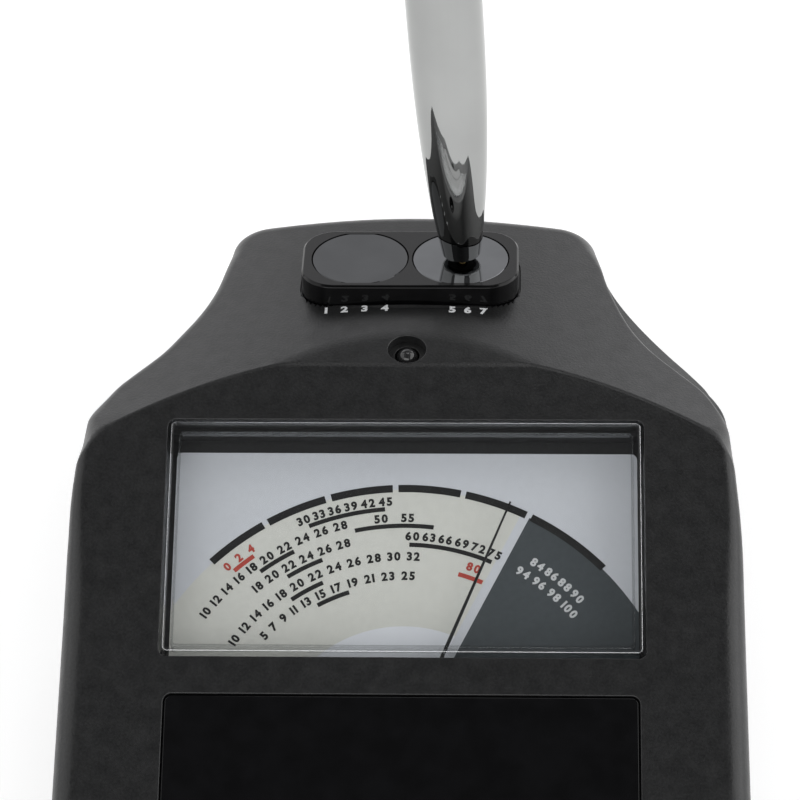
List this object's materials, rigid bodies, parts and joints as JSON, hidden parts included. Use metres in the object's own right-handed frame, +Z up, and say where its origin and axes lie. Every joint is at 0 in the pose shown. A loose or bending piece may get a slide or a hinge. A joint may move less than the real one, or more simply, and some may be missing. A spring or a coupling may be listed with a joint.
{
  "type": "diamond tester",
  "caption": "Handheld gem tester with an analogue meter behind a clear cover, a raised plate with test discs, a power button and a metal pen probe.",
  "frame": {"origin": "middle of the footprint of the whole tester with its probe, on the surface that it lies on", "axes": "+X to the right, +Y from the lower end towards the head, +Z up"},
  "size_m": [0.0902, 0.1688, 0.1445],
  "materials": {
    "shell_plastic": "fine moulded texture",
    "clear_cover": "clear polished plastic",
    "dial": "satin printed sheet",
    "label_gloss": "gloss",
    "plate_gloss": "gloss",
    "glass_disc": "polished dark disc",
    "reference_disc": "polished dark disc",
    "inner_plastic": "matt",
    "rubber": "matt",
    "steel": "bright zinc plated",
    "brass": "plain",
    "coil_metal": "plain",
    "needle_black": "black painted",
    "circuit_board": "solder mask",
    "pen_chrome": "bright polished",
    "lamp_lens": "clear moulded lens",
    "battery": "satin sleeve"
  },
  "bodies": {
    "housing": {"front_shell": "shell_plastic", "back_shell": "shell_plastic", "meter_cover": "clear_cover", "dial_plate": "dial", "label_panel": "label_gloss", "test_plate": "plate_gloss", "glass_disc": "glass_disc", "reference_disc": "reference_disc", "meter_case": "inner_plastic", "probe_socket": "inner_plastic", "tact_switch": "inner_plastic", "processor_chip": "inner_plastic", "buzzer": "inner_plastic", "foot_1": "rubber", "foot_2": "rubber", "foot_3": "rubber", "foot_4": "rubber", "meter_screw_left": "steel", "meter_screw_right": "steel", "board_screw_1": "steel", "board_screw_2": "steel", "plate_screw_left": "steel", "plate_screw_right": "steel", "case_screw_1": "steel", "case_screw_2": "steel", "case_screw_3": "steel", "case_screw_4": "steel", "yoke_ring": "steel", "magnet_core": "steel", "contact_plate_left": "steel", "contact_plate_right": "steel", "contact_spring_1": "steel", "contact_spring_2": "steel", "contact_spring_3": "steel", "movement_bridge": "brass", "front_jewel": "brass", "rear_jewel": "brass", "hairspring": "brass", "main_board": "circuit_board", "lamp_board": "circuit_board", "ready_lamp": "lamp_lens", "battery_1": "battery", "battery_2": "battery", "battery_3": "battery"},
    "needle": {"needle": "needle_black", "coil_former": "coil_metal", "coil_winding": "brass", "front_pivot": "steel", "rear_pivot": "steel"},
    "power_button": {"power_button": "rubber"},
    "battery_door": {"battery_cover": "shell_plastic"},
    "probe": {"probe_barrel": "pen_chrome", "probe_bush": "inner_plastic", "probe_spring": "steel", "probe_carrier": "inner_plastic", "probe_board": "circuit_board", "probe_end_cap": "inner_plastic", "probe_gland": "rubber"},
    "probe_tip": {"probe_tip": "brass"}
  },
  "joints": [
    {"name": "needle_swing", "type": "hinge", "parent": "housing", "child": "needle", "pos_m": [0, -0.02567, 0.03253], "axis": [0, -0.2419, 0.9703], "range_deg": [-23.7, 68.3]},
    {"name": "button_press", "type": "slide", "parent": "housing", "child": "power_button", "axis": [0, 0.2419, -0.9703], "range_m": [0, 0.0008], "stiffness_N_per_m": 1500, "springref_m": -0.0002},
    {"name": "battery_door_slide", "type": "slide", "parent": "housing", "child": "battery_door", "axis": [0, -1, 0], "range_m": [0, 0.044]},
    {"name": "probe_lift", "type": "slide", "parent": "housing", "child": "probe", "axis": [-0.0541, 0.3415, 0.9383], "range_m": [0, 0.08]},
    {"name": "tip_press", "type": "slide", "parent": "probe", "child": "probe_tip", "axis": [-0.0541, 0.3415, 0.9383], "range_m": [0, 0.0005], "stiffness_N_per_m": 1200, "springref_m": -0.0002}
  ]
}
